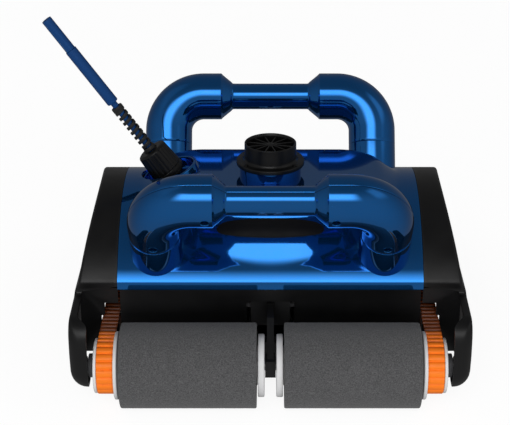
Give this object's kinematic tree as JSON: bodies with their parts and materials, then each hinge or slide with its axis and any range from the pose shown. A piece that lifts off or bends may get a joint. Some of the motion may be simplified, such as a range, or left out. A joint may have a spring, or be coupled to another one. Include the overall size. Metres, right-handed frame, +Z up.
{
  "type": "robotic pool cleaner",
  "caption": "Robotic pool cleaner with an arched cover, belt-driven foam rollers, a top outlet, carry handles and a short cable stub.",
  "frame": {"origin": "centre of the footprint on the floor under the rollers", "axes": "+Z up, -Y the front of the cleaner, +X to the right seen from the front, along the axles"},
  "size_m": [0.433, 0.4156, 0.3506],
  "materials": {
    "blue_gloss": "glossy metallic-look blue moulding",
    "black_gloss": "polished smoked black",
    "black_plastic": "semi-gloss black moulding",
    "black_rubber": "satin black rubber",
    "blue_cable": "smooth blue cable jacket",
    "grey_foam": "fine open-cell sponge",
    "white_plastic": "satin white moulding",
    "grey_plastic": "matte grey moulding",
    "orange_belt": "ribbed orange rubber",
    "stainless_steel": "ground shaft steel",
    "filter_cloth": "fine woven filter mesh"
  },
  "bodies": {
    "chassis": {"axle_front": "stainless_steel", "axle_hub_front_left": "grey_plastic", "axle_hub_front_right": "grey_plastic", "axle_hub_rear_left": "grey_plastic", "axle_hub_rear_right": "grey_plastic", "axle_rear": "stainless_steel", "belt_left": "orange_belt", "belt_right": "orange_belt", "bend_reliever": "black_rubber", "bottom_plate": "black_plastic", "cable": "blue_cable", "cable_float": "blue_cable", "cable_plug": "blue_cable", "chassis": "black_plastic", "filter_panel": "filter_cloth", "front_lens": "black_gloss", "gland_body": "black_plastic", "gland_nut": "black_plastic", "handle_front_inner": "blue_gloss", "handle_front_outer": "blue_gloss", "handle_rear_inner": "blue_gloss", "handle_rear_outer": "blue_gloss", "hanger_front": "black_plastic", "hanger_rear": "black_plastic", "motor_unit": "grey_plastic", "outlet_grille": "black_plastic", "side_cover_left": "black_plastic", "side_cover_right": "black_plastic", "top_cover": "blue_gloss"},
    "brush_front_left": {"foam_front_left": "grey_foam", "roller_core_front_left": "white_plastic", "centre_disc_front_left": "white_plastic", "pulley_front_left": "white_plastic"},
    "brush_front_right": {"foam_front_right": "grey_foam", "roller_core_front_right": "white_plastic", "centre_disc_front_right": "white_plastic", "pulley_front_right": "white_plastic"},
    "brush_rear_left": {"foam_rear_left": "grey_foam", "roller_core_rear_left": "white_plastic", "centre_disc_rear_left": "white_plastic", "pulley_rear_left": "white_plastic"},
    "brush_rear_right": {"foam_rear_right": "grey_foam", "roller_core_rear_right": "white_plastic", "centre_disc_rear_right": "white_plastic", "pulley_rear_right": "white_plastic"},
    "drive_left": {"drive_pulley_left": "white_plastic", "drive_shaft_left": "stainless_steel"},
    "drive_right": {"drive_pulley_right": "white_plastic", "drive_shaft_right": "stainless_steel"},
    "impeller": {"impeller": "grey_plastic"},
    "inlet_flap_front": {"inlet_flap_front": "grey_plastic"},
    "inlet_flap_rear": {"inlet_flap_rear": "grey_plastic"},
    "latch_front_left": {"latch_front_left": "grey_plastic"},
    "latch_front_right": {"latch_front_right": "grey_plastic"},
    "latch_rear_left": {"latch_rear_left": "grey_plastic"},
    "latch_rear_right": {"latch_rear_right": "grey_plastic"}
  },
  "joints": [
    {"name": "drive_left_spin", "type": "hinge", "parent": "chassis", "child": "drive_left", "pos_m": [0, 0, 0.04285], "axis": [1, 0, 0], "continuous": true},
    {"name": "brush_front_left_spin", "type": "hinge", "parent": "chassis", "child": "brush_front_left", "pos_m": [0, -0.165, 0.04285], "axis": [1, 0, 0], "continuous": true},
    {"name": "brush_rear_left_spin", "type": "hinge", "parent": "chassis", "child": "brush_rear_left", "pos_m": [0, 0.165, 0.04285], "axis": [1, 0, 0], "continuous": true},
    {"name": "drive_right_spin", "type": "hinge", "parent": "chassis", "child": "drive_right", "pos_m": [0, 0, 0.04285], "axis": [1, 0, 0], "continuous": true},
    {"name": "brush_front_right_spin", "type": "hinge", "parent": "chassis", "child": "brush_front_right", "pos_m": [0, -0.165, 0.04285], "axis": [1, 0, 0], "continuous": true},
    {"name": "brush_rear_right_spin", "type": "hinge", "parent": "chassis", "child": "brush_rear_right", "pos_m": [0, 0.165, 0.04285], "axis": [1, 0, 0], "continuous": true},
    {"name": "impeller_spin", "type": "hinge", "parent": "chassis", "child": "impeller", "pos_m": [0, 0, 0.183], "axis": [0, 0, 1], "continuous": true},
    {"name": "inlet_flap_front_hinge", "type": "hinge", "parent": "chassis", "child": "inlet_flap_front", "pos_m": [0, -0.089, 0.0162], "axis": [1, 0, 0], "range_deg": [0, 50]},
    {"name": "inlet_flap_rear_hinge", "type": "hinge", "parent": "chassis", "child": "inlet_flap_rear", "pos_m": [0, 0.089, 0.0162], "axis": [-1, 0, 0], "range_deg": [0, 50]},
    {"name": "latch_front_left_turn", "type": "hinge", "parent": "chassis", "child": "latch_front_left", "pos_m": [-0.128, -0.098, 0.011], "axis": [0, 0, 1], "range_deg": [-90, 0]},
    {"name": "latch_front_right_turn", "type": "hinge", "parent": "chassis", "child": "latch_front_right", "pos_m": [0.128, -0.098, 0.011], "axis": [0, 0, 1], "range_deg": [0, 90]},
    {"name": "latch_rear_left_turn", "type": "hinge", "parent": "chassis", "child": "latch_rear_left", "pos_m": [-0.128, 0.098, 0.011], "axis": [0, 0, 1], "range_deg": [0, 90]},
    {"name": "latch_rear_right_turn", "type": "hinge", "parent": "chassis", "child": "latch_rear_right", "pos_m": [0.128, 0.098, 0.011], "axis": [0, 0, 1], "range_deg": [-90, 0]}
  ],
  "couplings": [
    {"joint": "brush_front_left_spin", "follows": "drive_left_spin", "ratio": 1},
    {"joint": "brush_rear_left_spin", "follows": "drive_left_spin", "ratio": 1},
    {"joint": "brush_front_right_spin", "follows": "drive_right_spin", "ratio": 1},
    {"joint": "brush_rear_right_spin", "follows": "drive_right_spin", "ratio": 1}
  ]
}
